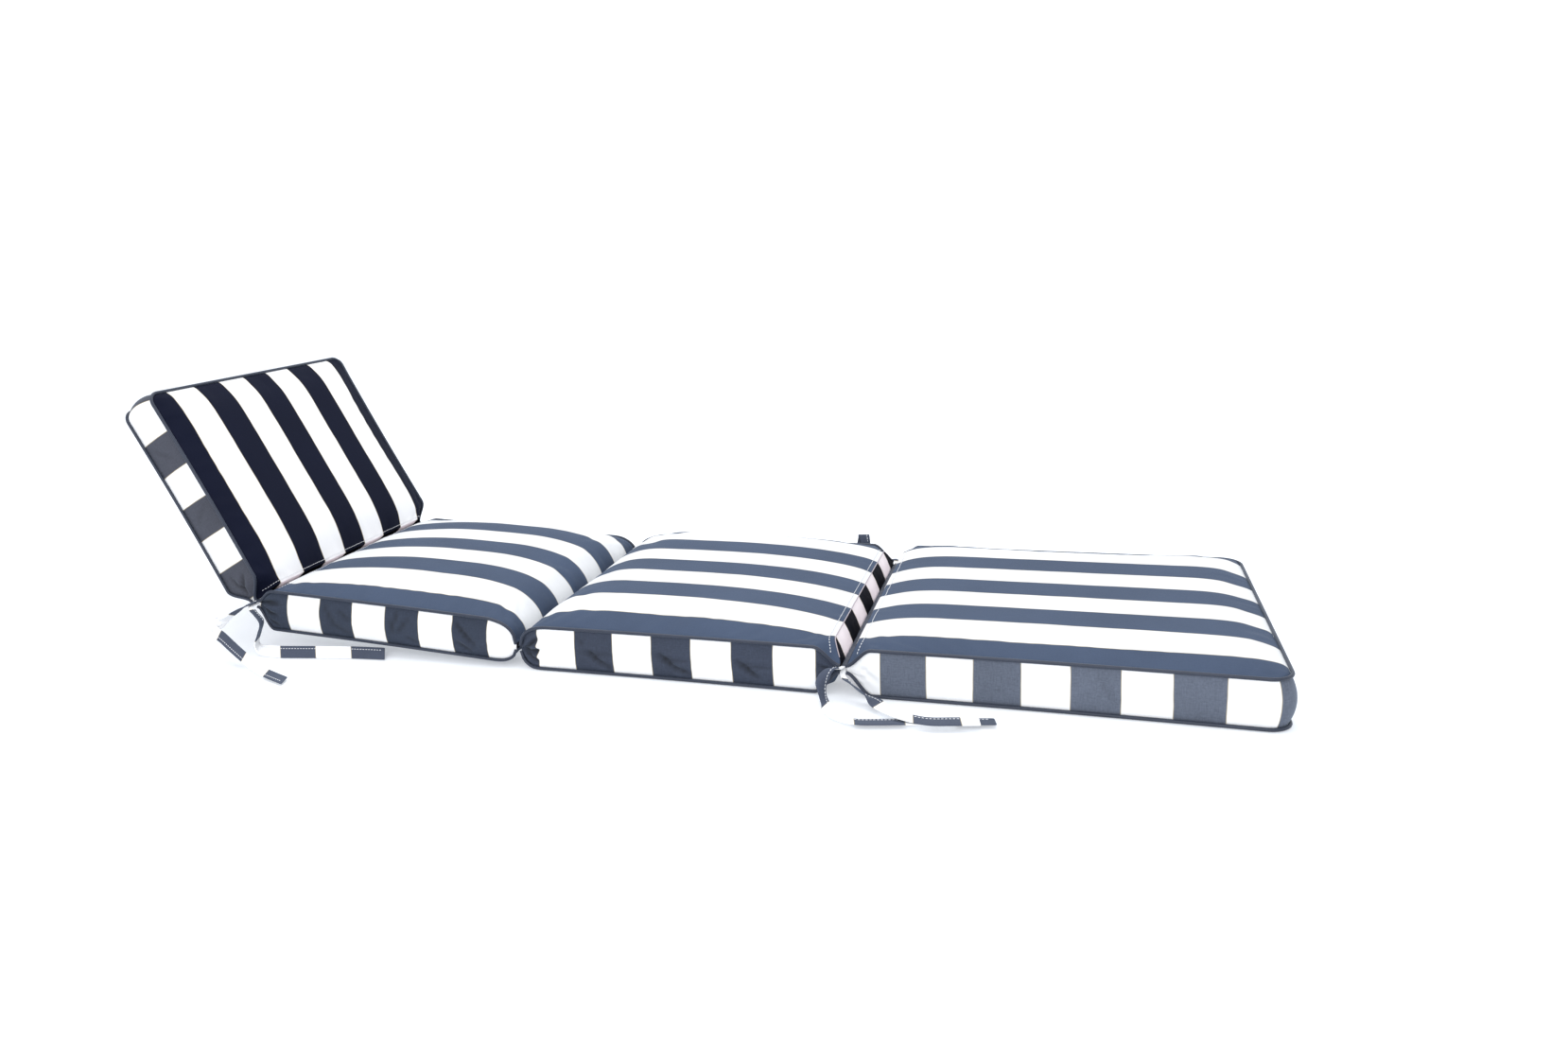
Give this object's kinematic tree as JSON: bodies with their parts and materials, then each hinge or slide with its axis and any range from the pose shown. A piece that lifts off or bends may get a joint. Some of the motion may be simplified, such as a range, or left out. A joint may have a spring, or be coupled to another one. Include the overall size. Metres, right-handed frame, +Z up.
{
  "type": "sun lounger cushion",
  "caption": "Long striped lounger cushion of filled pads, joined at fold hinges and a sewn channel, with piped edges and cloth ties, set down with its back pad raised.",
  "frame": {"origin": "middle of the leg pad's flat underside, which rests on the ground", "axes": "+X along the cushion towards the foot end, +Y across it, +Z up"},
  "size_m": [1.787, 0.7875, 0.4348],
  "materials": {
    "striped_canvas": "matt woven canvas in equal navy and white stripes",
    "navy_canvas": "matt woven canvas, navy",
    "tie_canvas": "matt woven canvas, doubled and stitched along one edge"
  },
  "bodies": {
    "root": {"back_pad": "striped_canvas", "seat_pad": "striped_canvas", "leg_pad": "striped_canvas", "foot_pad": "striped_canvas", "hinge_tape_back": "navy_canvas", "channel_strip": "navy_canvas", "hinge_tape_foot": "navy_canvas", "piping_back_upper": "navy_canvas", "piping_back_lower": "navy_canvas", "piping_seat_upper_near": "navy_canvas", "piping_seat_upper_far": "navy_canvas", "piping_seat_lower_near": "navy_canvas", "piping_seat_lower_far": "navy_canvas", "piping_leg_upper_near": "navy_canvas", "piping_leg_upper_far": "navy_canvas", "piping_leg_lower_near": "navy_canvas", "piping_leg_lower_far": "navy_canvas", "piping_foot_upper": "navy_canvas", "piping_foot_lower": "navy_canvas", "tie_back_near_1": "tie_canvas", "tie_back_near_2": "tie_canvas", "tie_foot_near_1": "tie_canvas", "tie_foot_near_2": "tie_canvas", "tie_back_far_1": "tie_canvas", "tie_back_far_2": "tie_canvas", "tie_foot_far_1": "tie_canvas", "tie_foot_far_2": "tie_canvas"}
  },
  "joints": []
}
